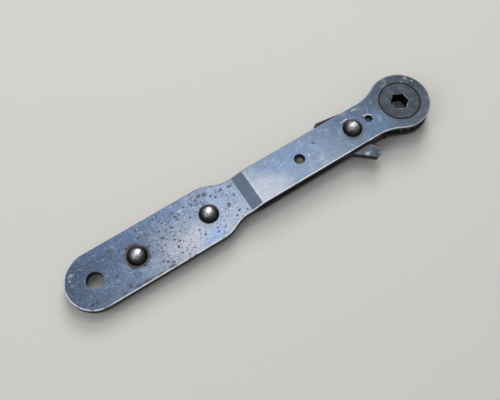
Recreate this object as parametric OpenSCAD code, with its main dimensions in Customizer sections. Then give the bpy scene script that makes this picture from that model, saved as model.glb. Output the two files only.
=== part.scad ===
// Flat reversible ratchet wrench: two joggled steel side plates riveted together,
// a toothed drive wheel that turns in them, and a spring-held pawl lever.
// Millimetres. The origin is the middle of the drive wheel. +X runs along the
// handle, +Y points to the side with the thumb tab, and +Z is the drive axis.

/* [Side plates] */
// Thickness of each side plate
plate_t = 1.6; // [1.2:0.1:2.2]
// Space between the plates in the head and the shank
plate_gap = 3.2; // [2.6:0.1:4.2]
// Width of the shank
shank_w = 15.7; // [13:0.1:19]
// Width of the handle
handle_w = 22.2; // [18.5:0.1:27]
// Radius of the hollow curve from the head to the shank
neck_r = 20; // [14:0.5:26]
// Length of the slope where each plate steps in to meet the other
joggle_len = 4.7; // [3.5:0.1:6]
// Distance from the spring block hole to the start of the slope
hole_to_joggle = 21; // [17:0.5:30]
// Distance from the end of the slope to the start of the widening
joggle_to_flare = 1.6; // [0.5:0.1:4]
// Length of the S curve from the shank width to the handle width
flare_len = 13; // [10:0.5:18]
// Distance from the end of the slope to the hanging hole
handle_len = 61.6; // [51:0.2:80]
// Diameter of the hanging hole
hang_d = 6.5; // [5:0.1:8]
// Diameter of the sight hole over the pawl
sight_d = 2.9; // [2.2:0.1:3.4]
// Distance from the pawl pivot to the sight hole
pivot_to_sight = 7.7; // [6.5:0.1:8.5]
// Edge break around the drive wheel holes
hole_break = 0.15; // [0.05:0.05:0.3]

/* [Drive wheel] */
// Diameter of the hubs that turn in the plates
hub_d = 15.9; // [13.2:0.1:18]
// Plate left outside the hub hole, all round the head
head_wall = 4.05; // [3.4:0.05:5]
// Distance from the tooth tips in to the edge of the head
tip_inset = 0.8; // [0.4:0.1:1.2]
// Number of teeth
teeth = 24; // [24]
// Depth of a tooth gap
tooth_depth = 1; // [0.8:0.05:1.2]
// Width of a tooth gap at its floor
gap_floor_w = 0.6; // [0.5:0.05:0.7]
// Slope of the tooth sides, from the radial direction
flank_angle = 40; // [34:1:44]
// Hexagon socket, across its flats
hex_af = 6.35; // [5:0.05:8]
// Turn of the hexagon from the tooth gaps
hex_turn = 5; // [0:1:30]
// Edge break on the hubs
hub_break = 0.2; // [0.1:0.05:0.4]
// Corner break at the mouths of the hexagon
hex_break = 0.2; // [0.1:0.05:0.3]

/* [Pawl lever] */
// Distance from the tooth tips to the pivot
tip_to_pivot = 11.4; // [10:0.1:13]
// Tilt of the lever from its middle position when it drives
lever_tilt = 7.6; // [6.8:0.1:8.4]
// Tooth gap that a nose drops into, counted in half pitches from the middle
nose_step = 3; // [3]
// Clearance from a nose to the floor of its tooth gap
nose_floor_clear = 0.15; // [0.1:0.05:0.3]
// Width of a nose at its end
nose_w = 0.4; // [0.3:0.02:0.42]
// Clearance on the side of a nose that carries no load
nose_side_clear = 0.06; // [0.04:0.01:0.08]
// Width of the lever, just wider than the shank
lever_w = 17; // [14:0.1:20]
// Distance from the pivot to the ridge at the lever's tail
tail_len = 14.5; // [12.5:0.1:17]
// Slope of the two tail faces on which the plunger rests
tail_slope = 12; // [8:1:16]
// Corner cut at the tail
tail_cut = 1.4; // [0.8:0.1:2]
// Straight length of the lever's sides ahead of the pivot
cheek_len = 3.2; // [2:0.1:4]
// Length of the slope in from the sides to the front arms
shoulder_len = 1.2; // [0.8:0.1:2]
// Half width of the lever across the roots of its front arms
arm_half_w = 7.2; // [6.4:0.1:8]
// Half width of the lever at its front corners
front_half_w = 6.3; // [5.8:0.1:7.2]
// Clearance from the lever's hollow front to the tooth tips
front_clear = 0.35; // [0.25:0.05:0.6]
// Reach of the thumb tab beyond the lever's side
tab_reach = 5.7; // [4:0.1:8]
// Length of the tab along the lever's side
tab_root = 9; // [7:0.5:11]
// Distance that the tab's root starts behind the pivot
tab_back = 5.2; // [4:0.1:7]
// Slope of the tab's rear edge
tab_slope = 33; // [28:1:45]
// Length of the tab's end
tab_end = 3; // [2.5:0.1:4]
// Slope of the tab's end
tab_end_slope = 30; // [15:1:40]
// Length of the small face at the front of the tab's end
tab_cut = 0.8; // [0.5:0.1:1.2]

/* [Rivets and bush] */
// Diameter of the rivets
rivet_d = 4.2; // [3.4:0.1:5]
// Diameter of the round rivet heads
rivet_head_d = 7.5; // [6.2:0.1:9]
// Height of the round rivet heads
rivet_head_h = 2.8; // [2.2:0.1:3.4]
// Wall of the distance bush on the pivot rivet
bush_wall = 1.05; // [0.7:0.05:1.3]
// Distance from the end of the slope to the front handle rivet
joggle_to_rivet = 14.4; // [12:0.2:20]
// Distance from the rear handle rivet to the hanging hole
rivet_to_hang = 17.1; // [14:0.1:22]

/* [Spring detent] */
// Distance from the pivot to the hole that holds the spring block
pivot_to_block = 24.5; // [23:0.1:30]
// Diameter of the block's round tenons
tenon_d = 4.1; // [3.4:0.1:5]
// Length of each tenon, which stops short of the plate's face
tenon_len = 0.6; // [0.3:0.1:1]
// Length of the spring block
block_len = 15; // [13.5:0.5:18]
// Width of the spring block
block_w = 9; // [7:0.1:12]
// Part of the block that lies behind the tenons' middle
block_back = 7.9; // [6:0.1:9]
// Wall between the plunger bore and the block's faces
bore_wall = 0.4; // [0.3:0.05:0.6]
// Wall at the closed end of the plunger bore
bore_end_wall = 3; // [2:0.1:4]
// Length of the plunger without its spigot
plunger_len = 8; // [7:0.1:9]
// Length of the spigot that centres the spring
spigot_len = 1.5; // [1:0.1:2]
// Thickness of the spring wire
wire_d = 0.35; // [0.25:0.05:0.45]
// Number of turns in the spring
spring_turns = 9; // [6:1:10]
// Clearance on a radius around and inside the coil
coil_clear = 0.09; // [0.06:0.01:0.12]

/* [Fits] */
// Running clearance on a radius
run_clear = 0.05; // [0.02:0.01:0.1]
// Clearance on a radius around a riveted or seated piece
seat_clear = 0.03; // [0.02:0.01:0.05]
// Clearance on each side of a piece that moves between the plates
side_clear = 0.05; // [0.03:0.01:0.1]
// Clearance where the spring's ends and the lever's ridge pass the plunger
touch_clear = 0.08; // [0.05:0.01:0.15]

/* [Hidden] */

// Smoothness of round shapes
$fn = 96;
// More than any size of the wrench, for cutting shapes
far = 400;
// Overlap that joins two curves which would only just touch
seam = 0.02;

// Drive wheel
head_r = hub_d / 2 + head_wall;
tip_r = head_r - tip_inset;
root_r = tip_r - tooth_depth;
pitch = 360 / teeth;
wheel_t = plate_gap - 2 * side_clear;
hub_t = plate_gap + 2 * plate_t;

// Places along the wrench
pivot_x = tip_r + tip_to_pivot;
sight_x = pivot_x - pivot_to_sight;
block_x = pivot_x + pivot_to_block;
joggle_x = block_x + hole_to_joggle;
joggle_end_x = joggle_x + joggle_len;
flare_x = joggle_end_x + joggle_to_flare;
flare_end_x = flare_x + flare_len;
front_rivet_x = joggle_end_x + joggle_to_rivet;
hang_x = joggle_end_x + handle_len;
rear_rivet_x = hang_x - rivet_to_hang;

// The two equal arcs of the S curve, and the hollow arc at the neck
flare_step = (handle_w - shank_w) / 2;
flare_r = (flare_len * flare_len + flare_step * flare_step) / (4 * flare_step);
flare_mid_x = (flare_x + flare_end_x) / 2;
neck_y = shank_w / 2 + neck_r;
neck_x = sqrt(pow(head_r + neck_r, 2) - neck_y * neck_y);

// The plates step in by half the gap, so that they meet in the handle
step = plate_gap / 2;
joggle_shift = plate_t * tan(atan(step / joggle_len) / 2);

// Pawl lever
lever_t = plate_gap - 2 * side_clear;
bush_d = rivet_d + 2 * seat_clear + 2 * bush_wall;
nose_angle = nose_step * pitch / 2;
nose_r = root_r + nose_floor_clear;
front_r = tip_r + front_clear;

// Spring detent
bore_d = plate_gap - 2 * bore_wall;
plunger_d = bore_d - 2 * run_clear;
plunger_x = pivot_x + tail_len + touch_clear;
plunger_back_x = plunger_x + plunger_len;
block_end_x = block_x + block_back;
bore_end_x = block_end_x - bore_end_wall;
spring_r = (bore_d - wire_d) / 2 - coil_clear;
spring_x = plunger_back_x + touch_clear + wire_d / 2;
spring_len = bore_end_x - touch_clear - wire_d / 2 - spring_x;
spigot_d = 2 * (spring_r - wire_d / 2 - coil_clear);

// Outline of a side plate seen along the drive axis
module plate_outline() {
    circle(r = head_r);
    translate([0, -shank_w / 2]) square([flare_mid_x, shank_w]);
    // Hollow neck behind the head
    web = (head_r / (head_r + neck_r)) * [neck_x, neck_y];
    difference() {
        polygon([[web[0], -web[1]], [neck_x, -shank_w / 2], [neck_x, shank_w / 2], web]);
        for (side = [-1, 1]) translate([neck_x, side * neck_y]) circle(r = neck_r + seam);
    }
    // Hollow half of the S curve
    mid_w = (shank_w + handle_w) / 2;
    difference() {
        translate([flare_x, -mid_w / 2]) square([flare_len / 2, mid_w]);
        for (side = [-1, 1])
            translate([flare_x, side * (shank_w / 2 + flare_r)]) circle(r = flare_r + seam);
    }
    // Full half of the S curve
    intersection() {
        translate([flare_mid_x, -handle_w / 2]) square([flare_len / 2, handle_w]);
        translate([flare_end_x, handle_w / 2 - flare_r]) circle(r = flare_r);
        translate([flare_end_x, flare_r - handle_w / 2]) circle(r = flare_r);
    }
    translate([flare_end_x, -handle_w / 2]) square([hang_x - flare_end_x, handle_w]);
    translate([hang_x, 0]) circle(d = handle_w);
}

// Side view of the upper plate: flat, a step down of half the gap, and flat again
module plate_profile() {
    top = plate_gap / 2 + plate_t;
    polygon([[-far / 2, top], [joggle_x, top], [joggle_end_x, top - step],
        [far / 2, top - step], [far / 2, top - step - plate_t],
        [joggle_end_x - joggle_shift, top - step - plate_t],
        [joggle_x - joggle_shift, top - plate_t], [-far / 2, top - plate_t]]);
}

// A hole along Z at a place on the centre line
module z_hole(x, d) {
    translate([x, 0, -far / 4]) cylinder(d = d, h = far / 2);
}

// The upper side plate. The lower one is its mirror image
module side_plate() {
    top = plate_gap / 2 + plate_t;
    hole_r = hub_d / 2 + run_clear;
    difference() {
        intersection() {
            translate([0, 0, -far / 4]) linear_extrude(far / 2) plate_outline();
            rotate([90, 0, 0]) linear_extrude(far / 2, center = true) plate_profile();
        }
        z_hole(0, 2 * hole_r);
        translate([0, 0, top - hole_break])
            cylinder(r1 = hole_r, r2 = hole_r + 2 * hole_break, h = 2 * hole_break);
        z_hole(sight_x, sight_d);
        z_hole(pivot_x, rivet_d + 2 * seat_clear);
        z_hole(block_x, tenon_d + 2 * seat_clear);
        z_hole(front_rivet_x, rivet_d + 2 * seat_clear);
        z_hole(rear_rivet_x, rivet_d + 2 * seat_clear);
        z_hole(hang_x, hang_d);
    }
}

module top_plate() {
    color("slategray") side_plate();
}

module bottom_plate() {
    color("slategray") mirror([0, 0, 1]) side_plate();
}

// One tooth gap, cut through the rim at angle 0
module tooth_gap() {
    past = 0.5;
    floor_half = gap_floor_w / 2;
    mouth_half = floor_half + (tooth_depth + past) * tan(flank_angle);
    polygon([[root_r, -floor_half], [tip_r + past, -mouth_half],
        [tip_r + past, mouth_half], [root_r, floor_half]]);
}

// Toothed wheel with a hub on each face and a hexagon socket right through
module ratchet_wheel() {
    hex_r = hex_af / 2 / cos(30);
    color("dimgray") difference() {
        union() {
            linear_extrude(wheel_t, center = true) difference() {
                circle(r = tip_r);
                for (i = [0 : teeth - 1])
                    rotate(pitch * (i + nose_step / 2)) tooth_gap();
            }
            rotate_extrude() polygon([[0, -hub_t / 2], [hub_d / 2 - hub_break, -hub_t / 2],
                [hub_d / 2, -hub_t / 2 + hub_break], [hub_d / 2, hub_t / 2 - hub_break],
                [hub_d / 2 - hub_break, hub_t / 2], [0, hub_t / 2]]);
        }
        rotate(30 + hex_turn) cylinder(r = hex_r, h = far, center = true, $fn = 6);
        for (side = [0, 1]) mirror([0, 0, side])
            translate([0, 0, hub_t / 2 - 2 * hex_break])
                cylinder(r1 = hex_r - hex_break, r2 = hex_r + 2 * hex_break,
                    h = 3 * hex_break);
    }
}

// Nose that drops into a tooth gap, drawn about the drive axis with the lever
// tilted to drive on the -Y side. Its loaded side is the one away from the middle
module nose() {
    inner_half = gap_floor_w / 2 + nose_floor_clear * tan(flank_angle) - nose_side_clear;
    nose_root = 0.8;
    base_r = front_r + nose_root;
    spread = (base_r - nose_r) * tan(flank_angle);
    rotate(-nose_angle) polygon([[nose_r, inner_half], [base_r, inner_half + spread],
        [base_r, inner_half - nose_w - spread], [nose_r, inner_half - nose_w]]);
}

// The lever's plain body in its middle position, about its pivot. Its front reaches
// past the teeth here, and is then trimmed by the path of the wheel
module lever_body() {
    half_w = lever_w / 2;
    tail_x = tail_len - (half_w - tail_cut) * tan(tail_slope);
    front_past = 2;
    upper = [[tail_x, half_w - tail_cut], [tail_x - tail_cut, half_w],
        [-cheek_len, half_w], [-cheek_len - shoulder_len, arm_half_w],
        [-tip_to_pivot, front_half_w],
        [-tip_to_pivot - front_past, front_half_w - front_past / 2]];
    lower = [for (i = [len(upper) - 1 : -1 : 0]) [upper[i][0], -upper[i][1]]];
    polygon(concat([[tail_len, 0]], upper, lower));
}

// Thumb tab that stands out past the plates on the +Y side
module thumb_tab() {
    root_y = lever_w / 2;
    overlap = 1;
    tip = [tab_back - tab_reach / tan(tab_slope), root_y + tab_reach];
    corner = tip - tab_end * [cos(tab_end_slope), sin(tab_end_slope)];
    cut_slope = 2 * tab_end_slope;
    front_x = tab_back - tab_root;
    polygon([[tab_back, root_y - overlap], [tab_back, root_y], tip, corner,
        corner - tab_cut * [cos(cut_slope), sin(cut_slope)],
        [front_x, root_y], [front_x, root_y - overlap]]);
}

// Flat two-nosed lever that turns on the bush and locks the wheel one way
module pawl_lever() {
    color("gray") translate([pivot_x, 0, -lever_t / 2]) rotate(-lever_tilt) difference() {
        union() {
            linear_extrude(lever_t) difference() {
                lever_body();
                for (turn = [-1, 0, 1]) rotate(turn * lever_tilt)
                    translate([-pivot_x, 0]) circle(r = front_r);
            }
            for (side = [0, 1]) mirror([0, side, 0]) rotate(lever_tilt)
                translate([-pivot_x, 0, 0]) linear_extrude(lever_t) nose();
            linear_extrude(lever_t) thumb_tab();
        }
        cylinder(d = bush_d + 2 * run_clear, h = far, center = true);
    }
}

// Distance bush that keeps the plates apart so that the lever stays free
module pivot_bush() {
    color("silver") difference() {
        cylinder_at(pivot_x, bush_d, plate_gap);
        z_hole(pivot_x, rivet_d + 2 * seat_clear);
    }
}

// A round piece on the centre line, halved by the middle plane
module cylinder_at(x, d, h) {
    translate([x, 0, 0]) cylinder(d = d, h = h, center = true);
}

// Solid rivet with a round head on each outer face, around a stack of a given height
module rivet(x, stack) {
    ball_r = (pow(rivet_head_d / 2, 2) + pow(rivet_head_h, 2)) / (2 * rivet_head_h);
    cylinder_at(x, rivet_d, stack + rivet_head_h / 2);
    for (side = [0, 1]) mirror([0, 0, side]) intersection() {
        translate([x, 0, stack / 2 + rivet_head_h - ball_r]) sphere(r = ball_r);
        translate([x, 0, stack / 2]) cylinder(d = rivet_head_d + 1, h = ball_r);
    }
}

module pivot_rivet() {
    color("dimgray") rivet(pivot_x, plate_gap + 2 * plate_t);
}

module front_handle_rivet() {
    color("dimgray") rivet(front_rivet_x, 2 * plate_t);
}

module rear_handle_rivet() {
    color("dimgray") rivet(rear_rivet_x, 2 * plate_t);
}

// Block between the plates, held by its tenons, bored for the plunger and spring
module spring_block() {
    color("rosybrown") difference() {
        union() {
            translate([block_end_x - block_len, -block_w / 2, -plate_gap / 2])
                cube([block_len, block_w, plate_gap]);
            cylinder_at(block_x, tenon_d, plate_gap + 2 * tenon_len);
        }
        translate([bore_end_x, 0, 0]) rotate([0, -90, 0]) cylinder(d = bore_d, h = far);
    }
}

// Plunger with a ball nose that presses on the lever's tail
module detent_plunger() {
    nose_ball_r = plunger_d / 2;
    color("silver") union() {
        translate([plunger_x + nose_ball_r, 0, 0]) sphere(r = nose_ball_r);
        translate([plunger_x + nose_ball_r, 0, 0]) rotate([0, 90, 0])
            cylinder(d = plunger_d, h = plunger_len - nose_ball_r);
        translate([plunger_back_x, 0, 0]) rotate([0, 90, 0])
            cylinder(d = spigot_d, h = spigot_len);
    }
}

// Coil spring behind the plunger: a round wire swept along a helix about X
wire_sides = 8;
rings_per_turn = 20;
ring_count = spring_turns * rings_per_turn;
function helix_point(i) =
    let (a = 360 * i / rings_per_turn)
    [spring_x + spring_len * i / ring_count, spring_r * cos(a), spring_r * sin(a)];
function wire_point(i, k) =
    let (a = 360 * i / rings_per_turn, b = 360 * k / wire_sides,
        out = wire_d / 2 * cos(b), along = wire_d / 2 * sin(b))
    helix_point(i) + [along, out * cos(a), out * sin(a)];

module detent_spring() {
    points = [for (i = [0 : ring_count]) for (k = [0 : wire_sides - 1]) wire_point(i, k)];
    sides = [for (i = [0 : ring_count - 1]) for (k = [0 : wire_sides - 1])
        let (n = (k + 1) % wire_sides, a = i * wire_sides, b = a + wire_sides)
        [a + k, a + n, b + n, b + k]];
    start = [for (k = [wire_sides - 1 : -1 : 0]) k];
    end = [for (k = [0 : wire_sides - 1]) ring_count * wire_sides + k];
    color("silver") polyhedron(points, concat(sides, [start, end]), convexity = 10);
}

top_plate();
bottom_plate();
ratchet_wheel();
pawl_lever();
pivot_bush();
pivot_rivet();
front_handle_rivet();
rear_handle_rivet();
spring_block();
detent_plunger();
detent_spring();
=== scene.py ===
from functools import reduce
from math import atan2, cos, hypot, pi, radians, sin

import bpy
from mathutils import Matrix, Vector, noise


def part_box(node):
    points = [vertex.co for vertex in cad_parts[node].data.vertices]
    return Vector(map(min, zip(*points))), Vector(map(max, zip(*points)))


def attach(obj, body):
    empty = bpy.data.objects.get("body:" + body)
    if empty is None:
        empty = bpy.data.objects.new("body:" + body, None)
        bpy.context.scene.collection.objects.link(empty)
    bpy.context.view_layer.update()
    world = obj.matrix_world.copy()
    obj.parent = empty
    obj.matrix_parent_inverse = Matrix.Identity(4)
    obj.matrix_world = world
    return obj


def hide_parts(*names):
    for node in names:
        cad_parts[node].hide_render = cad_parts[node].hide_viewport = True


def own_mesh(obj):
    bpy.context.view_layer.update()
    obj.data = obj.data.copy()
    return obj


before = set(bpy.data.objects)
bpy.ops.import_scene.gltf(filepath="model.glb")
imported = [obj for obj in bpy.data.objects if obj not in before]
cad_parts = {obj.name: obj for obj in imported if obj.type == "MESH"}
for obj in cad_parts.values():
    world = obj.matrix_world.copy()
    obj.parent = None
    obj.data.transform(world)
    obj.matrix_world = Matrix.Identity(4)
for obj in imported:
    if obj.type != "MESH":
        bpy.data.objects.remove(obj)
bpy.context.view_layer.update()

MM = 0.001

# ---------------------------------------------------------------- view and light
# The wrench lies on a plain pale bench, on the round heads of its pivot rivet and
# its rear handle rivet, so the bench slopes a little against the wrench's own axes.
HEAD_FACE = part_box("top_plate")[1].z
pivot_x = sum(v.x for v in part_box("pivot_rivet")) / 2
front_rivet_x = sum(v.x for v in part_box("front_handle_rivet")) / 2
rear_rivet_x = sum(v.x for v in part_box("rear_handle_rivet")) / 2
pivot_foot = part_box("pivot_rivet")[0].z
rear_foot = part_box("rear_handle_rivet")[0].z
bench_slope = atan2(rear_foot - pivot_foot, rear_rivet_x - pivot_x)

scene = bpy.context.scene
scene.view_settings.view_transform = "Standard"

camera_data = bpy.data.cameras.new("camera")
camera_data.lens = 53.28
camera_data.sensor_width = 36
camera_data.clip_start = 0.01
camera = bpy.data.objects.new("camera", camera_data)
scene.collection.objects.link(camera)
camera.location = Vector((129.62, 94.25, 253.27)) * MM
look_at = Vector((71.89, 4.07, 3.2)) * MM
camera.rotation_euler = (look_at - camera.location).to_track_quat("-Z", "Y").to_euler()
scene.camera = camera

# Direction away from the camera along the bench, and the one to its right
away = (look_at - camera.location)
away.z = 0
away.normalize()
rightward = Vector((away.y, -away.x, 0))


def softbox(name, ahead, right, up, width, depth, power, colour):
    """An area lamp at a place given from the middle of the view, aimed at it."""
    lamp = bpy.data.lights.new(name, "AREA")
    lamp.shape = "RECTANGLE"
    lamp.size, lamp.size_y = width, depth
    lamp.energy = power
    lamp.color = colour
    box = bpy.data.objects.new(name, lamp)
    scene.collection.objects.link(box)
    box.location = look_at + away * ahead + rightward * right + Vector((0, 0, up))
    box.rotation_euler = (look_at - box.location).to_track_quat("-Z", "Y").to_euler()
    return box


softbox("window_light", 0.26, 0.01, 0.56, 0.15, 0.12, 0.34, (0.96, 0.98, 1.0))
softbox("sky_light", 0.30, -0.05, 0.68, 0.70, 0.50, 0.88, (0.95, 0.97, 1.0))
softbox("far_light", 1.40, 0.10, 1.00, 0.90, 0.70, 10.5, (1.0, 0.99, 0.97))
softbox("fill_light", -0.32, -0.50, 0.55, 0.50, 0.50, 1.1, (1.0, 0.98, 0.95))


class Wire:
    """An output of a shader node. Arithmetic on wires adds Math nodes."""

    def __init__(self, paint, socket):
        self.paint, self.socket = paint, socket

    def maths(self, operation, *values):
        return self.paint.node("ShaderNodeMath", {"operation": operation}, values)

    def __add__(self, other):
        return self.maths("ADD", self, other)

    def __mul__(self, other):
        return self.maths("MULTIPLY", self, other)

    def __sub__(self, other):
        return self.maths("SUBTRACT", self, other)

    def __rsub__(self, other):
        return self.maths("SUBTRACT", other, self)

    def __abs__(self):
        return self.maths("ABSOLUTE", self)

    def highest(self, other):
        return self.maths("MAXIMUM", self, other)

    __radd__ = __add__
    __rmul__ = __mul__


class Paint:
    """A material built from nodes on the piece's own coordinates, in millimetres."""

    def __init__(self, name):
        self.material = bpy.data.materials.new(name)
        self.material.use_nodes = True
        self.tree = self.material.node_tree
        self.shader = self.tree.nodes["Principled BSDF"]

    def node(self, kind, settings=None, values=(), out=0):
        """Adds a node: its settings, then a value or a wire for each of its inputs."""
        made = self.tree.nodes.new(kind)
        for key, value in (settings or {}).items():
            if key == "stops":
                ramp = made.color_ramp
                while len(ramp.elements) < len(value):
                    ramp.elements.new(0.5)
                for element, (place, colour) in zip(ramp.elements, value):
                    element.position = place
                    element.color = (*colour, 1) if len(colour) == 3 else colour
            else:
                setattr(made, key, value)
        pairs = values.items() if isinstance(values, dict) else enumerate(values)
        for key, value in pairs:
            self.set_input(made, key, value)
        return Wire(self, made.outputs[out])

    def set_input(self, made, key, value):
        if isinstance(value, Wire):
            self.tree.links.new(value.socket, made.inputs[key])
        elif value is not None:
            made.inputs[key].default_value = value

    def shade(self, **values):
        """Sets the shader's inputs, named with spaces as underscores."""
        for key, value in values.items():
            self.set_input(self.shader, key.replace("_", " "), value)
        return self.material

    def place(self):
        """The piece's own coordinates in millimetres, as a vector and as x, y and z."""
        coordinates = self.node("ShaderNodeTexCoord", out=3)
        vector = self.node("ShaderNodeVectorMath", {"operation": "SCALE"},
                           {0: coordinates, 3: 1 / MM})
        axes = [self.node("ShaderNodeSeparateXYZ", None, [vector], out=i) for i in range(3)]
        return vector, *axes

    def stretched(self, vector, scale, turn=(0, 0, 0)):
        return self.node("ShaderNodeMapping", None, {0: vector, 2: turn, 3: scale})

    def mottle(self, vector, scale, detail=3.0, roughness=0.5, distortion=0.0):
        """Soft noise from 0 to 1, with scale in bumps per millimetre."""
        return self.node("ShaderNodeTexNoise", None,
                         {"Vector": vector, "Scale": scale, "Detail": detail,
                          "Roughness": roughness, "Distortion": distortion})

    def dots(self, vector, scale, share, size):
        """Scattered dots of mixed sizes. share is how many of the places have one."""
        cell = self.tree.nodes.new("ShaderNodeTexVoronoi")
        cell.voronoi_dimensions = "2D"
        self.set_input(cell, "Vector", vector)
        cell.inputs["Scale"].default_value = scale
        chance = [self.node("ShaderNodeSeparateColor", None, [Wire(self, cell.outputs["Color"])],
                            out=i) for i in range(2)]
        reach = chance[0] * chance[0] * size + size * 0.35
        near = self.step(Wire(self, cell.outputs["Distance"]) - reach, 0.06, -0.06)
        return near * self.step(chance[1] - share, 0.02, -0.02)

    def spot_distance(self, vector, place, size):
        """Distance from a place in X and Y, in half sizes along X and Y."""
        shift = (-place[0] / size[0], -place[1] / size[1], 0)
        moved = self.node("ShaderNodeMapping", None,
                          {0: vector, 1: shift, 3: (1 / size[0], 1 / size[1], 0)})
        return self.node("ShaderNodeVectorMath", {"operation": "LENGTH"}, [moved], out=1)

    def spot(self, vector, place, size, soft):
        """An oval spot: 1 inside, 0 outside, with a soft border."""
        return self.step(self.spot_distance(vector, place, size), 1 + soft, 1 - soft)

    def step(self, value, low, high, start=0.0, end=1.0):
        """A soft step: start below low, end above high."""
        return self.node("ShaderNodeMapRange", {"interpolation_type": "SMOOTHSTEP"},
                         [value, low, high, start, end])

    def mix(self, share, one, other):
        """From one colour to the other as share goes from 0 to 1."""
        return self.node("ShaderNodeMix", {"data_type": "RGBA"},
                         {0: share, 6: one, 7: other}, out=2)

    def bump(self, height, strength, distance, under=None):
        return self.node("ShaderNodeBump", None,
                         {"Strength": strength, "Distance": distance * MM,
                          "Height": height, "Normal": under})


def srgb(red, green, blue):
    """A colour from its 0 to 255 display values to the linear ones of a shader."""
    def linear(value):
        value /= 255
        return value / 12.92 if value <= 0.04045 else ((value + 0.055) / 1.055) ** 2.4
    return linear(red), linear(green), linear(blue), 1.0


bench_size = 6.0
bpy.ops.object.select_all(action="DESELECT")
bpy.ops.mesh.primitive_plane_add(size=bench_size)
bench = bpy.context.object
bench.name = "bench"
bench.rotation_euler = (0, -bench_slope, 0)
bench.location = (pivot_x, 0, pivot_foot)
bpy.ops.object.transform_apply(location=True, rotation=True, scale=True)
paint = Paint("pale_bench")
bench.data.materials.append(paint.shade(Base_Color=srgb(238, 235, 230), Roughness=0.75))

# The room is a plain pale one: it lights the wrench softly and shows in its metal
world = bpy.data.worlds.new("room")
scene.world = world
world.use_nodes = True
room = world.node_tree
room.nodes.clear()
rays = room.nodes.new("ShaderNodeLightPath")
shown = rays.outputs["Is Camera Ray"]
for ray in ("Is Glossy Ray", "Is Transmission Ray"):
    either = room.nodes.new("ShaderNodeMath")
    either.operation = "MAXIMUM"
    room.links.new(shown, either.inputs[0])
    room.links.new(rays.outputs[ray], either.inputs[1])
    shown = either.outputs[0]
facing = room.nodes.new("ShaderNodeSeparateXYZ")
room.links.new(room.nodes.new("ShaderNodeTexCoord").outputs["Generated"], facing.inputs[0])
overhead = room.nodes.new("ShaderNodeMapRange")
overhead.interpolation_type = "SMOOTHSTEP"
room.links.new(facing.outputs["Z"], overhead.inputs["Value"])
# The light is strongest from overhead and weak near the horizon
for socket, value in (("From Min", 0.10), ("From Max", 0.85), ("To Min", 0.05), ("To Max", 0.30)):
    overhead.inputs[socket].default_value = value
light = room.nodes.new("ShaderNodeBackground")
light.inputs["Color"].default_value = (0.95, 0.97, 1.0, 1)
room.links.new(overhead.outputs[0], light.inputs["Strength"])
back = room.nodes.new("ShaderNodeBackground")
back.inputs["Color"].default_value = srgb(232, 232, 232)
chosen = room.nodes.new("ShaderNodeMixShader")
room.links.new(shown, chosen.inputs[0])
room.links.new(light.outputs[0], chosen.inputs[1])
room.links.new(back.outputs[0], chosen.inputs[2])
room.links.new(chosen.outputs[0], room.nodes.new("ShaderNodeOutputWorld").inputs[0])


# ------------------------------------------------------------------- side plates
# Two equal pressings of blued sheet steel, joggled so that they meet in the handle.
# The bluing is worn off along the rims, with a painted highlight added on the tab's side, and the handle
# has rust, pits and scuffs.
PLATE_T = 1.6
head_z = HEAD_FACE / MM
handle_z = PLATE_T
joggle_start, joggle_end = 68.1, 72.8
hub_hole_r = 8.0
sight_x = 14.9
small_holes_x = 12.5, 139
small_holes_half_w = 5
head_r = 3.75
pivot_mm, rear_rivet_mm = pivot_x / MM, rear_rivet_x / MM
# Vertices closer together than this become one. The plates have some very short
# edges, which would fold over when they are rounded, so theirs is wider
MERGE = 0.002
PLATE_MERGE = 0.06


def only(piece):
    """Selects this object alone and makes it the active one."""
    bpy.ops.object.select_all(action="DESELECT")
    piece.select_set(True)
    bpy.context.view_layer.objects.active = piece


def merged_copy(node, name, near=MERGE):
    """A copy of a CAD node whose loose triangles are joined into whole faces."""
    piece = bpy.data.objects.new(name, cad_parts[node].data.copy())
    scene.collection.objects.link(piece)
    piece.data.materials.clear()
    only(piece)
    if piece.data.has_custom_normals:
        bpy.ops.mesh.customdata_custom_splitnormals_clear()
    bpy.ops.object.mode_set(mode="EDIT")
    bpy.ops.mesh.select_all(action="SELECT")
    bpy.ops.mesh.remove_doubles(threshold=near * MM)
    bpy.ops.mesh.dissolve_limited(angle_limit=radians(0.6))
    bpy.ops.object.mode_set(mode="OBJECT")
    return piece


def round_edges(piece, width, segments=3, angle=28, share=None, rounding_slot=0, clamp=False):
    """Rounds the sharp edges. share gives each edge's part of the full width, and
    clamp narrows the rounding where edges lie close together."""
    only(piece)
    bpy.ops.object.mode_set(mode="EDIT")
    bpy.ops.mesh.select_mode(type="EDGE")
    bpy.ops.mesh.select_all(action="DESELECT")
    bpy.ops.mesh.edges_select_sharp(sharpness=radians(angle))
    bpy.ops.object.mode_set(mode="OBJECT")
    mesh = piece.data
    weight = mesh.attributes.new("bevel_weight_edge", "FLOAT", "EDGE")
    for edge in mesh.edges:
        if edge.select:
            first, last = (mesh.vertices[i].co for i in edge.vertices)
            weight.data[edge.index].value = share((first + last) / 2) if share else 1.0
    bevel = piece.modifiers.new("rounding", "BEVEL")
    bevel.width = width * MM
    bevel.segments = segments
    bevel.limit_method = "WEIGHT"
    bevel.use_clamp_overlap = clamp
    bevel.material = rounding_slot
    # Rounding may draw a pointed corner out past the flat faces, so it is put back
    low, high = (pick(v.co.z for v in mesh.vertices) for pick in (min, max))
    bpy.ops.object.modifier_apply(modifier=bevel.name)
    for vertex in mesh.vertices:
        vertex.co.z = min(high, max(low, vertex.co.z))
    bpy.ops.object.mode_set(mode="EDIT")
    bpy.ops.mesh.select_all(action="SELECT")
    bpy.ops.mesh.dissolve_degenerate(threshold=MERGE * MM)
    bpy.ops.object.mode_set(mode="OBJECT")


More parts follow.
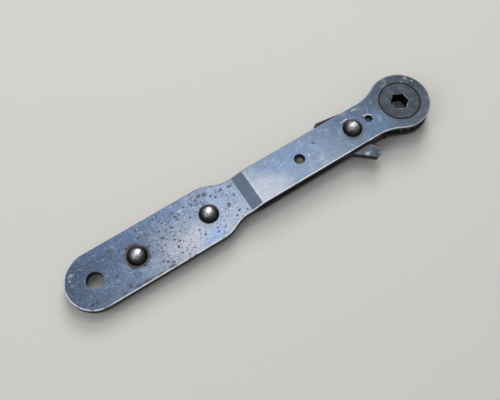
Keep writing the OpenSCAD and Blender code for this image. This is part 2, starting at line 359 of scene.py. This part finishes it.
def smooth(piece, angle=40):
    """Smooth shading in which flat faces stay flat beside their rounded edges."""
    only(piece)
    bpy.ops.object.shade_smooth_by_angle(angle=radians(angle))
    flat = piece.modifiers.new("flat_faces", "WEIGHTED_NORMAL")
    flat.keep_sharp = True
    bpy.ops.object.modifier_apply(modifier=flat.name)


def rim_share(place):
    """The outline is well worn and round, and the rims of the holes much less so."""
    x, y = place.x / MM, place.y / MM
    first, last = small_holes_x
    in_hole = hypot(x, y) < hub_hole_r + 1 or (abs(y) < small_holes_half_w and first < x < last)
    return 0.3 if in_hole else 1.0


def inset_rims(piece, width, faces_up):
    """Sets off a narrow band along the border of the chosen flat faces."""
    only(piece)
    bpy.ops.object.mode_set(mode="EDIT")
    bpy.ops.mesh.select_mode(type="FACE")
    bpy.ops.mesh.select_all(action="DESELECT")
    bpy.ops.object.mode_set(mode="OBJECT")
    for face in piece.data.polygons:
        face.select = faces_up(face)
    bpy.ops.object.mode_set(mode="EDIT")
    bpy.ops.mesh.inset(thickness=width * MM, use_even_offset=True)
    bpy.ops.object.mode_set(mode="OBJECT")


def mark_rims(piece, rounding_slot, share=None):
    """Marks the vertices: 1 on a worn, rounded rim and 0 on the flat faces."""
    mesh = piece.data
    rim = mesh.attributes.new("rim", "FLOAT", "POINT")
    for face in mesh.polygons:
        if face.material_index == rounding_slot:
            face.material_index = 0
            for i in face.vertices:
                rim.data[i].value = share(mesh.vertices[i].co) if share else 1.0
    mesh.materials.pop(index=rounding_slot)


def outer_face(face):
    """The flat faces of a plate that look away from the other plate."""
    x, z = face.center.x / MM, abs(face.center.z / MM)
    inner = z < PLATE_T - 0.05 or (z < head_z - 0.05 and x < joggle_start)
    return abs(face.normal.z) > 0.8 and not inner


# Colours of the face on the tab's side and on the other side, at places along it. Besides the bluing's
# tone they hold a painted sheen, lightest through the middle of the length, where the lamp's reflection
# falls.
face_places = (-12, 4, 24, 40, 52, 64, 82, 98, 120, 145)
tab_side = [(62, 68, 78), (67, 76, 89), (83, 99, 120), (114, 125, 140), (106, 120, 141),
            (131, 140, 152), (137, 148, 165), (149, 155, 167), (92, 108, 132), (68, 82, 103)]
far_side = [(46, 52, 60), (57, 65, 76), (71, 86, 106), (90, 105, 125), (96, 112, 134),
            (104, 118, 137), (116, 129, 148), (100, 115, 139), (73, 89, 112), (58, 71, 91)]

# Spots of brown rust, each with its place and half sizes along X and Y
rust_spots = [
    (39.0, -3.0, 0.6, 0.5), (79.0, 1.0, 0.7, 0.9), (84.8, -7.5, 0.9, 0.8), (86.8, -8.1, 0.8, 0.7),
    (88.8, -7.2, 0.6, 0.5), (90.8, -6.5, 0.6, 0.5), (86.8, -4.4, 0.5, 0.4), (110.3, 7.0, 0.6, 0.5),
    (112.6, -6.6, 0.5, 0.5), (118.6, 10.2, 2.0, 0.5), (122.4, 10.1, 1.3, 0.6), (124.6, 8.7, 0.8, 0.7),
    (121.3, 5.5, 0.6, 0.5), (127.2, 3.0, 0.5, 0.5), (125.0, -7.0, 0.8, 0.5), (137.5, 7.8, 0.8, 0.7),
    (108.5, 10.2, 1.2, 0.4), (113.5, 10.3, 1.6, 0.4), (127.6, 10.0, 0.8, 0.5), (75.0, -5.4, 1.0, 0.4)]
# Scuffs and chips down to bare steel
bare_spots = [
    (-9.5, -4.5, 0.4, 0.5), (-8.0, -6.8, 0.35, 0.9), (-5.7, -5.8, 0.3, 0.3), (43.2, 0.5, 0.4, 0.9),
    (17.8, -6.3, 1.4, 0.3), (23.6, -4.35, 1.7, 0.35), (79.2, 2.3, 0.6, 0.4), (112.3, -7.0, 1.2, 0.7),
    (95.8, -6.8, 1.0, 0.4), (141.0, -6.0, 1.1, 0.7), (142.2, -4.4, 0.4, 0.5), (16.0, -2.5, 0.3, 0.5)]


def blued_steel():
    paint = Paint("blued_plate_steel")
    vector, x, y, z = paint.place()
    rim = paint.node("ShaderNodeAttribute", {"attribute_name": "rim"}, out=2)
    wander = paint.node("ShaderNodeTexNoise", None,
                        {"Vector": vector, "Scale": 1.1, "Detail": 3.0}, out=1)
    wander = paint.node("ShaderNodeVectorMath", {"operation": "SUBTRACT"}, [wander, (0.5, 0.5, 0.5)])
    loose = paint.node("ShaderNodeVectorMath", {"operation": "MULTIPLY_ADD"},
                       [wander, (1.3, 1.3, 0), vector])

    # Bluing: dark on the head, pale in the middle, partly from thin bluing and partly a painted sheen
    # where the lamp's reflection falls, dark again at the end
    length = face_places[-1] - face_places[0]
    along = paint.node("ShaderNodeMapRange", None, [x, face_places[0], face_places[-1], 0, 1])
    shares = [(place - face_places[0]) / length for place in face_places]
    sides = [paint.node("ShaderNodeValToRGB", {"stops": [
        (share, srgb(*colour)) for share, colour in zip(shares, colours)]}, [along])
        for colours in (far_side, tab_side)]
    drift = paint.mottle(vector, 0.09, 2, 0.5)
    colour = paint.mix(paint.step(y + drift * 8, -2.5, 11), *sides)
    # Tinted patches left by the heat and by oil, with wandering borders
    for cx, cy, rx, ry, tint, share in (
            (91.0, 8.2, 5.5, 2.6, (124, 148, 186), 0.70), (99.5, 6.0, 8.0, 4.2, (158, 158, 164), 0.50),
            (112.0, -8.8, 20.0, 2.0, (84, 106, 140), 0.40), (62.0, 4.0, 7.0, 6.0, (164, 167, 172), 0.42),
            (49.0, -2.0, 12.0, 4.0, (98, 119, 152), 0.35), (80.0, -2.0, 7.0, 9.0, (132, 146, 172), 0.25),
            (12.0, 3.0, 5.0, 5.0, (88, 114, 146), 0.30), (102.0, -1.0, 9.0, 3.6, (126, 132, 140), 0.30),
            (65.5, 0.0, 2.2, 8.0, (164, 166, 171), 0.22)):
        patch = paint.spot(loose, (cx, cy), (rx, ry), 0.45)
        colour = paint.mix(patch * share, colour, srgb(*tint))
    cloud = paint.mottle(vector, 0.30, 5, 0.62, 0.5)
    colour = paint.mix(paint.step(cloud, 0.50, 0.76) * 0.26, colour, srgb(160, 168, 180))
    colour = paint.mix(paint.step(cloud, 0.48, 0.24) * 0.40, colour, srgb(70, 84, 110))
    # The steep stretch of the joggle is painted dark, a painted shade of the slope that faces away from
    # the light, and has fewer scratches and specks
    ripple = x + paint.mottle(vector, 1.1, 4, 0.7) * 0.7
    steep = paint.step(ripple, joggle_start + 0.45, joggle_start + 0.75) \
        * paint.step(ripple, joggle_end + 0.55, joggle_end + 0.25)
    colour = paint.mix(steep * 0.88, colour, paint.mix(cloud, srgb(54, 60, 71), srgb(72, 86, 106)))
    # Painted highlight: a pale line along the crest of the bend where the steep stretch starts
    lip_highlight = paint.step(ripple, joggle_start - 0.9, joggle_start + 0.1) * (1 - steep) \
        * paint.step(x, joggle_start + 0.5, joggle_start + 0.2)
    lip_highlight = lip_highlight * paint.step(paint.mottle(vector, 1.1, 4, 0.7), 0.36, 0.62, 0.25, 1.0)
    colour = paint.mix(lip_highlight * 0.50, colour, srgb(184, 183, 187))

    # Fine grain, and faint scratches that run mostly along the shank
    grain = paint.mottle(vector, 1.9, 5, 0.75)
    handle = paint.step(x, 71.5, 75)
    coarse = paint.step(x, 126, 104, 0.42, 0.62) * handle
    coarse = coarse.highest(0.35) * (1 - steep * 0.5)
    speckle = paint.mottle(vector, 0.85, 4, 0.7)
    colour = paint.mix(paint.step(speckle, 0.54, 0.68) * coarse * (handle * 0.30 + 0.20), colour,
                       srgb(166, 177, 192))
    colour = paint.mix(paint.step(speckle, 0.46, 0.32) * coarse * 0.60, colour, srgb(66, 78, 98))
    colour = paint.mix(paint.step(grain, 0.51, 0.74) * coarse, colour, srgb(172, 181, 193))
    colour = paint.mix(paint.step(grain, 0.49, 0.29) * coarse, colour, srgb(58, 66, 80))

    def scratches(turn, stretch, scale, low):
        along_turn = paint.stretched(vector, stretch, (0, 0, radians(turn)))
        return paint.step(paint.mottle(along_turn, scale, 2, 0.5), low, low + 0.06)

    marks = reduce(Wire.highest, (scratches(*kind) for kind in (
        (4, (0.16, 2.6, 0), 1.1, 0.655), (-33, (0.20, 2.4, 0), 1.3, 0.665),
        (64, (0.22, 2.8, 0), 1.2, 0.675))))
    patchy = paint.step(paint.mottle(vector, 0.22, 2), 0.42, 0.62)
    marks = marks * patchy * paint.step(x, 8, 40, 0.10, 0.34) * (1 - steep)
    colour = paint.mix(marks, colour, srgb(214, 219, 228))

    # Rust and pits: the handle has most of them, with a brown ring at the rear rivet
    from_rear = paint.spot_distance(loose, (rear_rivet_mm, 0.1), (1, 1))
    ring = paint.step(from_rear + paint.mottle(vector, 0.5, 4, 0.7) * 5.0, 7.9, 6.7)
    thick = paint.step(x, 72, 76) * paint.step(x, 126, 108, 0.30, 1.0)
    thick = thick * paint.step(paint.mottle(vector, 0.17, 3, 0.6), 0.36, 0.60, 0.45, 1.0)
    pits = paint.dots(loose, 0.66, thick * 0.50, 0.25)
    smudge = paint.step(paint.mottle(vector, 1.15, 6, 0.72) + thick * 0.07, 0.655, 0.705)
    pits = pits.highest(smudge * thick)
    fine_pits = paint.dots(loose, 1.35, thick * 0.30 + 0.03, 0.26)
    spots = reduce(Wire.highest, (
        paint.spot(loose, (sx, sy), (rx, ry), 0.60) for sx, sy, rx, ry in rust_spots))
    edge_rust = rim * paint.step(paint.mottle(vector, 0.5, 3, 0.6), 0.56, 0.66) * handle * 0.6
    spots = spots * paint.step(grain, 0.36, 0.58, 0.35, 1.0)
    rust = spots.highest(ring).highest(edge_rust)
    brown = paint.mix(paint.step(paint.mottle(vector, 1.3, 4, 0.7), 0.36, 0.64),
                      srgb(52, 45, 48), srgb(122, 100, 96))
    colour = paint.mix(rust * 0.80, colour, brown)
    colour = paint.mix(pits * 0.80, colour, srgb(64, 62, 76))
    colour = paint.mix(fine_pits * 0.65, colour, srgb(62, 66, 82))
    # Grime squeezed up by the staked pivot rivet, and a painted shade ring round the foot of every rivet
    # head
    from_pivot = paint.spot_distance(loose, (pivot_mm, 0.3), (1, 1))
    staked = paint.step(from_pivot, 5.1, 4.7) * paint.step(y, 0.5, 3.2)
    colour = paint.mix(staked * 0.75, colour, srgb(84, 84, 86))
    # Painted shade: a dark ring round the foot of each rivet head
    rivet_foot_shade = reduce(Wire.highest, (
        paint.step(paint.spot_distance(vector, (place, 0), (1, 1)), head_r + 0.24, head_r + 0.02)
        for place in (pivot_mm, front_rivet_x / MM, rear_rivet_mm)))
    colour = paint.mix(rivet_foot_shade * 0.88, colour, srgb(32, 28, 29))

    # Chips and scuffs, and the curled burr beside the sight hole
    chips = reduce(Wire.highest, (
        paint.spot(loose, (sx, sy), (rx, ry), 0.35) for sx, sy, rx, ry in bare_spots))
    chips = chips * paint.step(grain, 0.44, 0.60, 0.05, 0.62)
    from_sight = paint.spot_distance(vector, (sight_x + 0.1, -0.1), (1, 1))
    burr = paint.step(abs(from_sight - 1.90), 0.20, 0.06) * paint.step(y + x * 0.3, 3.6, 3.2)
    chips = chips.highest(burr * 0.65)
    colour = paint.mix(chips, colour, srgb(206, 209, 208))
    beside_sight = paint.spot(loose, (16.3, -1.6), (0.40, 0.45), 0.4)
    colour = paint.mix(beside_sight * 0.8, colour, srgb(38, 36, 40))

    # Bright worn rims, painted brighter on the tab's side: a whole line there, partly bare steel and
    # partly a painted highlight, and specks in brown on the other
    # Painted highlight, partly wear: the bright line runs whole along the tab's side
    whole = paint.step(y, -1, 3).highest(paint.step(x, 134, 139))
    whole = whole * paint.step(x, -14, 26, 0.30, 1.0)
    whole = whole * paint.step(paint.mottle(vector, 0.20, 3, 0.6), 0.34, 0.52, 0.60, 1.0)
    broken = paint.step(paint.mottle(vector, 1.3, 4, 0.7), 0.52, 0.64)
    cover = whole + (1 - whole) * broken * 0.35
    radius = paint.spot_distance(vector, (0, 0), (1, 1))
    # Painted shade: the rim of the hub hole is painted dark, beside the gap round the wheel's hub
    groove = paint.step(radius, hub_hole_r + 0.42, hub_hole_r + 0.22)
    stained = paint.step(rim + speckle * 0.8, 0.55, 1.10) * (1 - whole) * 0.75
    colour = paint.mix(stained, colour, srgb(62, 58, 62))
    line = paint.step(rim, 0.35, 0.95) * cover * (1 - groove) * (1 - edge_rust)
    fringe = paint.step(rim + grain * 1.6, 1.08, 1.40) * (1 - groove) * (whole * 0.25 + 0.15)
    bright = line.highest(fringe * (1 - rivet_foot_shade))
    colour = paint.mix(bright * 0.82, colour, srgb(218, 223, 230))

    # The sheared sides, the holes' walls and the inner faces are painted near-black brown: partly oily
    # scale, partly painted shade where little light falls
    outer = paint.node("ShaderNodeMapRange", None, [x, joggle_start, joggle_end, head_z, handle_z])
    below = outer - abs(z)
    side = paint.step(below, 0.16, 0.30)
    side_tone = paint.mottle(paint.stretched(vector, (0.5, 0.5, 2.4)), 0.9, 4, 0.7)
    scale = paint.mix(paint.step(side_tone, 0.40, 0.78), srgb(14, 12, 11), srgb(44, 38, 35))
    groove = groove.highest(side)
    colour = paint.mix(groove * 0.96, colour, scale)

    rough = 0.42 + grain * 0.12 - marks * 0.10 + rust * 0.30 + pits * 0.15 + groove * 0.20
    metal = 1 - rust * 0.70 - pits * 0.35 - groove * 0.60
    dents = paint.mottle(vector, 0.30, 3, 0.5)
    height = grain * 0.35 - marks * 0.6 - pits * 1.5 - fine_pits * 0.8
    normal = paint.bump(dents, 0.30, 0.14)
    normal = paint.bump(height, 0.60, 0.022, normal)
    return paint.shade(Base_Color=colour, Roughness=rough, Metallic=metal, Normal=normal)


plate_paint = blued_steel()
rounding_slot = 1
rounding_w, rim_w = 0.28, 0.62
for node in ("top_plate", "bottom_plate"):
    plate = merged_copy(node, "shaped_" + node, PLATE_MERGE)
    plate.data.materials.append(plate_paint)
    plate.data.materials.append(plate_paint)
    inset_rims(plate, rim_w, outer_face)
    round_edges(plate, rounding_w, 3, 28, rim_share, rounding_slot)
    mark_rims(plate, rounding_slot, rim_share)
    smooth(plate)
    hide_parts(node)
    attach(plate, "frame")

# ------------------------------------------------------------------- drive wheel
# One piece of hardened steel: hubs turned on both faces, teeth milled in the rim and
# a hexagon broached right through. Its faces are dark grey with fine lathe rings.
wheel = merged_copy("ratchet_wheel", "shaped_ratchet_wheel")
running_gap = 0.05
hub_r = hub_hole_r - running_gap
hex_turn, hex_half = 5, 3.175
bore_reach = 3.9
teeth_from = 7
paint = Paint("dark_wheel_steel")
vector, x, y, z = paint.place()
radius = paint.spot_distance(vector, (0, 0), (1, 1))
around = paint.node("ShaderNodeMath", {"operation": "ARCTAN2"}, [y, x])
rings = paint.node("ShaderNodeCombineXYZ", None, [radius * 3.0, around * 0.30, z * 0.4])
turned = paint.mottle(rings, 2.0, 3, 0.6)
cloud = paint.mottle(vector, 0.40, 4, 0.62, 0.5)
colour = paint.mix(paint.step(cloud, 0.34, 0.70), srgb(46, 52, 59), srgb(66, 73, 82))
brownish = paint.step(paint.mottle(vector, 0.28, 3, 0.6), 0.50, 0.72)
colour = paint.mix(brownish * 0.35, colour, srgb(72, 68, 66))
colour = paint.mix(paint.step(turned, 0.46, 0.76) * 0.30, colour, srgb(102, 109, 118))
grain = paint.mottle(vector, 2.4, 4, 0.75)
colour = paint.mix(paint.step(grain, 0.52, 0.78) * 0.40, colour, srgb(112, 118, 126))
colour = paint.mix(paint.step(grain, 0.48, 0.28) * 0.40, colour, srgb(34, 38, 43))
# The hexagon's corner break is rubbed pale, and the hub's edge beside the gap round it is painted near
# black as painted shade
flats = [radians(hex_turn + 60 * i) for i in range(3)]
across = reduce(Wire.highest, (abs(x * cos(turn) + y * sin(turn)) for turn in flats))
mouth = paint.step(across, hex_half + 0.52, hex_half + 0.30)
mouth = mouth * paint.step(grain, 0.36, 0.56, 0.35, 1.0)
colour = paint.mix(mouth * 0.55, colour, srgb(146, 148, 146))
hub_gap_shade = paint.step(radius, hub_r - 0.24, hub_r - 0.08)
wheel_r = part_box("ratchet_wheel")[1].y / MM
black = paint.mix(paint.mottle(vector, 1.3, 3), srgb(18, 16, 15), srgb(38, 34, 31))
colour = paint.mix(hub_gap_shade * 0.97, colour, black)
tips = paint.step(radius, wheel_r - 0.60, wheel_r - 0.25) * paint.step(grain, 0.34, 0.50, 0.4, 1.0)
colour = paint.mix(tips * 0.70, colour, srgb(104, 95, 87))
wheel.data.materials.append(paint.shade(
    Base_Color=colour, Metallic=1 - hub_gap_shade * 0.7,
    Roughness=0.42 + turned * 0.10 + hub_gap_shade * 0.28,
    Normal=paint.bump(turned + grain * 0.6, 0.40, 0.02)))
# Painted shade: the hexagon bore's walls are painted near black and dull, as shade falls deep in the
# bore
paint = Paint("painted_bore_shade")
vector, *_ = paint.place()
patches = paint.mottle(vector, 0.8, 4, 0.7)
wheel.data.materials.append(paint.shade(
    Base_Color=paint.mix(paint.step(patches, 0.4, 0.7), srgb(11, 9, 8), srgb(34, 30, 27)),
    Metallic=0.0, Roughness=0.85, Specular_IOR_Level=0.06,
    Normal=paint.bump(patches, 0.5, 0.06)))
for face in wheel.data.polygons:
    if face.center.xy.length < bore_reach * MM and abs(face.normal.z) < 0.3:
        face.material_index = 1
round_edges(wheel, 0.20, 2, 25,
            lambda place: 1.0 if place.xy.length > teeth_from * MM else 0.5, clamp=True)
smooth(wheel, 35)
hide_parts("ratchet_wheel")
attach(wheel, "wheel")

# ------------------------------------------------------------------- pawl lever
# A flat steel lever sawn and milled from bar, with a thumb tab that slopes forwards.
# Only the tab's top is rubbed to bare steel. The rest is painted dark brown: partly oily scale, partly
# painted shade between the plates and on the sides.
lever = merged_copy("pawl_lever", "shaped_pawl_lever")
paint = Paint("lever_steel")
vector, x, y, z = paint.place()
cloud = paint.mottle(vector, 0.5, 4, 0.65, 0.5)
colour = paint.mix(paint.step(cloud, 0.34, 0.68), srgb(48, 56, 66), srgb(76, 86, 100))
filed = paint.mottle(paint.stretched(vector, (0.5, 2.2, 1), (0, 0, radians(-35))), 1.5, 3, 0.7)
colour = paint.mix(paint.step(filed, 0.54, 0.76) * 0.40, colour, srgb(112, 121, 134))
scuff = paint.spot(vector, (23.2, 11.3), (1.2, 0.9), 0.6) * paint.step(filed, 0.42, 0.60)
colour = paint.mix(scuff * 0.5, colour, srgb(206, 211, 217))
# Painted shadow: the tab is painted darker next to the top plate's edge, where the plate shades it
plate_shadow_on_tab = paint.step(y, 10.4, 9.2) * paint.step(cloud, 0.3, 0.6, 0.5, 1.0)
colour = paint.mix(plate_shadow_on_tab * 0.7, colour, srgb(92, 88, 92))
tab_rim = paint.node("ShaderNodeAttribute", {"attribute_name": "rim"}, out=2)
rubbed = tab_rim * paint.step(cloud, 0.36, 0.54, 0.3, 1.0)
colour = paint.mix(rubbed * 0.40, colour, srgb(170, 178, 186))
lever_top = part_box("pawl_lever")[1].z / MM
side = paint.step(abs(z), lever_top - 0.07, lever_top - 0.22)
brown = paint.mix(paint.step(paint.mottle(vector, 1.0, 4, 0.7), 0.36, 0.68),
                  srgb(24, 21, 20), srgb(64, 57, 54))
tab = paint.step(y, 8.2, 8.9) * paint.step(x, 17.0, 18.5)
inside = 1 - tab
# Painted shade, partly brown scale: the lever's sides and all of it but the tab, which lies between the
# plates, are painted dark brown
scale = (side * 0.94).highest(inside * 0.92)
colour = paint.mix(scale, colour, brown)
# Painted light: where the lever shows through the sight hole it is painted lighter, as light falls on it
# through the hole
sight_hole_light = paint.spot(vector, (14.75, -0.25), (1.0, 0.95), 0.25)
colour = paint.mix(sight_hole_light * 0.8, colour, srgb(104, 101, 99))
lever.data.materials.append(paint.shade(
    Base_Color=colour, Metallic=1 - scale * 0.55, Roughness=0.40 + filed * 0.12 + scale * 0.18,
    Normal=paint.bump(filed + cloud, 0.4, 0.03)))
lever.data.materials.append(lever.data.materials[0])
# Only the tab and the lever's rear part are rounded. The noses keep their sharp edges
tab_line, tab_front, rear_from = 8.3 * MM, 15 * MM, 23 * MM
only(lever)
bpy.ops.object.mode_set(mode="EDIT")
bpy.ops.mesh.select_all(action="SELECT")
bpy.ops.mesh.bisect(plane_co=(0, tab_line, 0), plane_no=(0, 1, 0))
bpy.ops.object.mode_set(mode="OBJECT")


def on_tab(place):
    return place.y > tab_line and place.x > tab_front


def lever_share(place):
    return 1.0 if on_tab(place) else 0.35 if place.x > rear_from else 0.0


inset_rims(lever, 0.45, lambda face: abs(face.normal.z) > 0.9 and on_tab(face.center))
round_edges(lever, 0.20, 3, 25, lever_share, rounding_slot)
mark_rims(lever, rounding_slot, on_tab)
smooth(lever)
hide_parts("pawl_lever")
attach(lever, "lever")


# ------------------------------------------------------------------------ rivets
# Solid steel rivets set by hand: a round head was hammered up on each face. Their crowns are painted
# bright, partly as rubbed wear and partly as a painted highlight, and the lower part of each head is
# painted dark, as a painted dark reflection.
def rivet_steel(name, crown, marked):
    """crown is the height of the heads in mm. marked adds the dents of the setting punch."""
    paint = Paint(name)
    vector, _, _, z = paint.place()
    cloud = paint.mottle(vector, 0.6, 4, 0.62, 0.6)
    drop = crown - abs(z) + (cloud - 0.5) * 0.7
    # Painted highlight on the crown, partly wear, fading to a painted dark reflection round the foot
    worn = paint.node("ShaderNodeMapRange", None, [drop, 0.0, 2.6 if marked else 2.2, 0.0, 1.0])
    colour = paint.node("ShaderNodeValToRGB", {"stops": [
        (0.00, srgb(222, 222, 226)), (0.09, srgb(184, 183, 188)), (0.20, srgb(122, 120, 125)),
        (0.38, srgb(68, 65, 69)), (0.64, srgb(38, 35, 37))]}, [worn])
    grain = paint.mottle(vector, 2.4, 4, 0.7)
    spatter = paint.mottle(vector, 1.5, 3, 0.7)
    colour = paint.mix(paint.step(spatter, 0.52, 0.36) * 0.45, colour, srgb(44, 39, 39))
    colour = paint.mix(paint.step(grain, 0.48, 0.30) * 0.5, colour, srgb(38, 33, 33))
    colour = paint.mix(paint.step(grain, 0.56, 0.74) * 0.3, colour, srgb(186, 186, 190))
    rust = paint.step(paint.mottle(vector, 0.9, 4, 0.7), 0.60, 0.72)
    colour = paint.mix(rust * 0.35, colour, srgb(78, 60, 52))
    height = grain + cloud * 3
    if marked:
        off = paint.spot_distance(vector, (pivot_mm + 0.1, -1.5), (1, 1))
        punch = paint.step(abs(off - 0.62), 0.22, 0.08)
        colour = paint.mix(punch * 0.70, colour, srgb(52, 50, 52))
        height = height - punch * 3
    return paint.shade(
        Base_Color=colour, Metallic=1 - rust * 0.3, Roughness=0.19 + grain * 0.12 + rust * 0.15,
        Normal=paint.bump(height, 0.45, 0.03))


def rivet_piece(node, seat, shank_r, flats, seed, steel):
    """Models a rivet with a round head at both ends, hammered here and there."""
    low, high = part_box(node)
    middle_x = (low.x + high.x) / 2
    half_w = (high.x - low.x) / 2
    rise = high.z - seat
    ball_r = (half_w ** 2 + rise ** 2) / (2 * rise)
    middle = Vector((middle_x, 0, high.z - ball_r))
    bpy.ops.object.select_all(action="DESELECT")
    bpy.ops.mesh.primitive_uv_sphere_add(segments=80, ring_count=56, radius=ball_r,
                                         location=middle)
    piece = bpy.context.object
    piece.name = "shaped_" + node
    bpy.ops.object.transform_apply(location=True, rotation=True, scale=True)
    # The ball is cut off at the plate, and the cut face is drawn in to the shank
    bpy.ops.object.mode_set(mode="EDIT")
    bpy.ops.mesh.select_all(action="SELECT")
    bpy.ops.mesh.bisect(plane_co=(0, 0, seat), plane_no=(0, 0, 1), clear_inner=True,
                        use_fill=True)
    bpy.ops.mesh.inset(thickness=half_w - shank_r)
    bpy.ops.mesh.extrude_region_move(TRANSFORM_OT_translate={"value": (0, 0, -seat)})
    bpy.ops.mesh.delete(type="ONLY_FACE")
    bpy.ops.object.mode_set(mode="OBJECT")
    # The shank's end is set in the middle plane, where the two halves will meet.
    # Each hammer blow presses what stands above its plane back onto it
    for vertex in piece.data.vertices:
        if vertex.co.z < middle_band:
            vertex.co.z = 0
        if vertex.co.z <= seat + foot_band:
            continue
        out = vertex.co - middle
        for turn, lean, depth in flats:
            blow = Vector((sin(lean) * cos(turn), sin(lean) * sin(turn), cos(lean)))
            over = out.dot(blow) - (ball_r - depth * MM)
            if over > 0:
                out = out - blow * over * 0.9
        wave = noise.noise(vertex.co * waves_per_m + Vector((seed, 0, 0)))
        fall = min(1.0, (vertex.co.z - seat) / wave_rise)
        vertex.co = middle + out * (1 - 0.012 * fall * (wave + 0.6))
    # The lower half is the same, turned over, and the halves meet in the middle
    only(piece)
    bpy.ops.object.mode_set(mode="EDIT")
    bpy.ops.mesh.select_all(action="SELECT")
    bpy.ops.mesh.duplicate()
    bpy.ops.transform.rotate(value=pi, orient_axis="X", center_override=(middle_x, 0, 0))
    bpy.ops.mesh.select_all(action="SELECT")
    bpy.ops.mesh.remove_doubles(threshold=0.004 * MM)
    bpy.ops.mesh.normals_make_consistent(inside=False)
    bpy.ops.object.mode_set(mode="OBJECT")
    bpy.ops.object.shade_smooth_by_angle(angle=radians(40))
    piece.data.materials.append(steel)
    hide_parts(node)
    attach(piece, "frame")


shank_r = 2.1 * MM
middle_band, foot_band = 0.1 * MM, 0.02 * MM
waves_per_m, wave_rise = 700, 0.8 * MM
pivot_steel = rivet_steel("pivot_rivet_steel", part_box("pivot_rivet")[1].z / MM, True)
handle_steel = rivet_steel("handle_rivet_steel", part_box("rear_handle_rivet")[1].z / MM, False)
hammered = [(0.2, 0.30, 0.16), (1.9, 0.42, 0.15), (3.1, 0.20, 0.14), (4.4, 0.46, 0.17),
            (5.3, 0.25, 0.13), (2.6, 0.70, 0.12), (0.9, 0.72, 0.10), (3.9, 0.80, 0.10)]
rivet_piece("pivot_rivet", HEAD_FACE, shank_r, hammered, 3.1, pivot_steel)
rivet_piece("front_handle_rivet", handle_z * MM, shank_r, [(4.2, 0.2, 0.05)], 7.7, handle_steel)
rivet_piece("rear_handle_rivet", handle_z * MM, shank_r,
            [(1.0, 0.3, 0.07), (3.6, 0.4, 0.08)], 12.9, handle_steel)

# ------------------------------------------------------------------ spring block
# A small block of plain steel between the plates. Its round tenons are staked in
# the plates' holes, so that only their rough ends show from outside.
block = merged_copy("spring_block", "shaped_spring_block")
paint = Paint("plain_block_steel")
vector, _, _, z = paint.place()
cloud = paint.mottle(vector, 0.8, 4, 0.7, 0.5)
colour = paint.mix(paint.step(cloud, 0.30, 0.70), srgb(60, 56, 54), srgb(102, 96, 92))
grain = paint.mottle(vector, 2.6, 4, 0.75)
colour = paint.mix(paint.step(grain, 0.52, 0.78) * 0.5, colour, srgb(150, 141, 133))
# Painted shade: the block's faces between the plates, and a crescent round the tenon's end where the
# hole's wall shades it, are painted near black
inside = paint.step(abs(z), 1.75, 1.55)
tenon_x = 47.1
tenon_recess_shade = paint.step(paint.spot_distance(vector, (tenon_x + 0.05, 0.45), (1, 1)), 1.15, 1.50)
inside = inside.highest(tenon_recess_shade)
colour = paint.mix(inside * 0.88, colour, srgb(28, 24, 22))
block.data.materials.append(paint.shade(
    Base_Color=colour, Metallic=0.75, Roughness=0.5 + grain * 0.15,
    Normal=paint.bump(cloud + grain * 0.6, 0.8, 0.14)))
round_edges(block, 0.14, 2, 28)
smooth(block)
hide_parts("spring_block")
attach(block, "frame")

# ------------------------------------------------- bush, plunger and coil spring
# Turned steel parts and a spring of drawn wire, oily and mostly out of sight
# between the plates.
paint = Paint("oily_turned_steel")
vector, *_ = paint.place()
cloud = paint.mottle(vector, 0.8, 4, 0.6)
colour = paint.mix(paint.step(cloud, 0.35, 0.7), srgb(96, 92, 88), srgb(150, 148, 146))
lathe = paint.mottle(paint.stretched(vector, (6, 0.8, 0.8)), 1.0, 2)
oily_steel = paint.shade(Base_Color=colour, Metallic=0.95, Roughness=0.3 + lathe * 0.15,
                         Normal=paint.bump(lathe, 0.3, 0.02))
bush = merged_copy("pivot_bush", "shaped_pivot_bush")
bush.data.materials.append(oily_steel)
round_edges(bush, 0.12, 2, 28)
smooth(bush)
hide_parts("pivot_bush")
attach(bush, "frame")
plunger = merged_copy("detent_plunger", "shaped_detent_plunger")
plunger.data.materials.append(oily_steel)
smooth(plunger, 30)
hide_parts("detent_plunger")
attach(plunger, "plunger")
# The coil spring stays with the frame and gets a mesh of its own
coil = merged_copy("detent_spring", "shaped_detent_spring")
coil.data.materials.append(oily_steel)
smooth(coil, 60)
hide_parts("detent_spring")
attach(coil, "frame")
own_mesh(coil)
